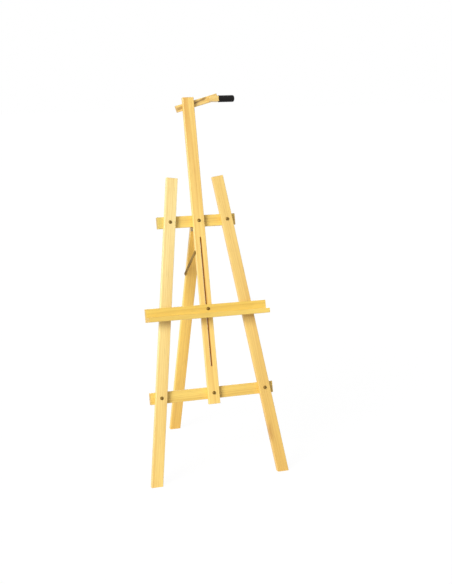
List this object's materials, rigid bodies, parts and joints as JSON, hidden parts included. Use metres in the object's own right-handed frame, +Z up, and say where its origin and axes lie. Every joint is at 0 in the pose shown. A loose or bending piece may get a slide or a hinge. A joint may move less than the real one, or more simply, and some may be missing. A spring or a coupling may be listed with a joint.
{
  "type": "wooden artist easel",
  "caption": "Leaning wooden easel on splayed legs with a hinged rear leg, a canvas shelf that slides on a slotted mast, and a swinging arm at the top.",
  "frame": {"origin": "on the floor, under the middle of the outline: half way between the outer edges of the front feet, and half way from their front edges to the back edge of the rear foot", "axes": "+X to the right of someone who looks at the easel's front, +Y from its front to its back, +Z up"},
  "size_m": [0.6204, 0.701, 1.6022],
  "materials": {
    "pale_wood": "clear varnish, satin",
    "honey_wood": "clear varnish, satin",
    "dark_steel": "black-brown, semi-gloss",
    "zinc_steel": "zinc plated",
    "black_rubber": "matte"
  },
  "bodies": {
    "frame": {"left_leg": "pale_wood", "right_leg": "pale_wood", "mast": "pale_wood", "upper_crossbar": "honey_wood", "lower_crossbar": "honey_wood", "upper_left_bolt": "dark_steel", "upper_left_washer": "zinc_steel", "upper_left_nut": "zinc_steel", "upper_middle_bolt": "dark_steel", "upper_middle_washer": "zinc_steel", "upper_middle_nut": "zinc_steel", "upper_right_bolt": "dark_steel", "upper_right_washer": "zinc_steel", "upper_right_nut": "zinc_steel", "lower_left_bolt": "dark_steel", "lower_left_washer": "zinc_steel", "lower_left_nut": "zinc_steel", "lower_middle_bolt": "dark_steel", "lower_middle_washer": "zinc_steel", "lower_middle_nut": "zinc_steel", "lower_right_bolt": "dark_steel", "lower_right_washer": "zinc_steel", "lower_right_nut": "zinc_steel", "hinge_upper_leaf": "zinc_steel", "hinge_pin": "zinc_steel", "hinge_upper_left_screw": "zinc_steel", "hinge_upper_right_screw": "zinc_steel", "stay_pivot_screw": "zinc_steel", "stay_pivot_washer": "zinc_steel", "arm_stud": "zinc_steel"},
    "shelf": {"shelf_back_board": "honey_wood", "shelf_ledge": "honey_wood", "shelf_left_screw": "zinc_steel", "shelf_middle_screw": "zinc_steel", "shelf_right_screw": "zinc_steel", "shelf_bolt": "dark_steel", "shelf_washer": "zinc_steel"},
    "shelf_wing_nut": {"shelf_wing_nut": "zinc_steel"},
    "rear_leg": {"rear_leg": "honey_wood", "hinge_lower_leaf": "zinc_steel", "hinge_lower_left_screw": "zinc_steel", "hinge_lower_right_screw": "zinc_steel"},
    "stay": {"stay_arm": "dark_steel"},
    "stay_runner": {"stay_runner_screw": "zinc_steel", "stay_runner_washer": "zinc_steel"},
    "arm_swivel": {"arm_washer": "zinc_steel"},
    "arm": {"top_arm": "honey_wood"},
    "arm_wing_nut": {"arm_wing_nut": "zinc_steel"},
    "finger": {"finger_bar": "honey_wood", "rubber_sleeve": "black_rubber", "finger_stud": "zinc_steel", "finger_spacer": "zinc_steel", "finger_washer": "zinc_steel"},
    "finger_wing_nut": {"finger_wing_nut": "zinc_steel"}
  },
  "joints": [
    {"name": "shelf_slide", "type": "slide", "parent": "frame", "child": "shelf", "axis": [0, 0.2672, 0.9636], "range_m": [-0.242, 0.306]},
    {"name": "shelf_wing_nut_turn", "type": "hinge", "parent": "shelf", "child": "shelf_wing_nut", "pos_m": [0, -0.12609, 0.69688], "axis": [0, 0.9636, -0.2672], "continuous": true},
    {"name": "rear_leg_fold", "type": "hinge", "parent": "frame", "child": "rear_leg", "pos_m": [0, -0.02267, 1.03577], "axis": [-1, 0, 0], "range_deg": [0, 33.2]},
    {"name": "stay_swing", "type": "hinge", "parent": "frame", "child": "stay", "pos_m": [-0.0276, -0.07949, 0.93976], "axis": [-1, 0, 0], "range_deg": [0, 45.52]},
    {"name": "stay_runner_slide", "type": "slide", "parent": "stay", "child": "stay_runner", "axis": [0, 0.7582, -0.6521], "range_m": [-0.05398, 0]},
    {"name": "arm_swing", "type": "hinge", "parent": "frame", "child": "arm_swivel", "pos_m": [0, 0.12018, 1.5475], "axis": [0, -0.9636, 0.2672], "range_deg": [-45, 70]},
    {"name": "arm_reach", "type": "slide", "parent": "arm_swivel", "child": "arm", "axis": [0.9659, 0.0692, 0.2494], "range_m": [-0.025, 0.02]},
    {"name": "arm_wing_nut_turn", "type": "hinge", "parent": "frame", "child": "arm_wing_nut", "pos_m": [0, 0.12789, 1.54536], "axis": [0, 0.9636, -0.2672], "continuous": true},
    {"name": "finger_turn", "type": "hinge", "parent": "arm", "child": "finger", "pos_m": [0.10645, 0.10729, 1.57584], "axis": [0, -0.9636, 0.2672], "range_deg": [-45, 60]},
    {"name": "finger_wing_nut_turn", "type": "hinge", "parent": "finger", "child": "finger_wing_nut", "pos_m": [0.10645, 0.13234, 1.56889], "axis": [0, 0.9636, -0.2672], "continuous": true}
  ],
  "couplings": [
    {"joint": "stay_swing", "follows": "rear_leg_fold", "ratio": 1.3695},
    {"joint": "stay_runner_slide", "follows": "rear_leg_fold", "m_per_rad": -0.092989}
  ]
}
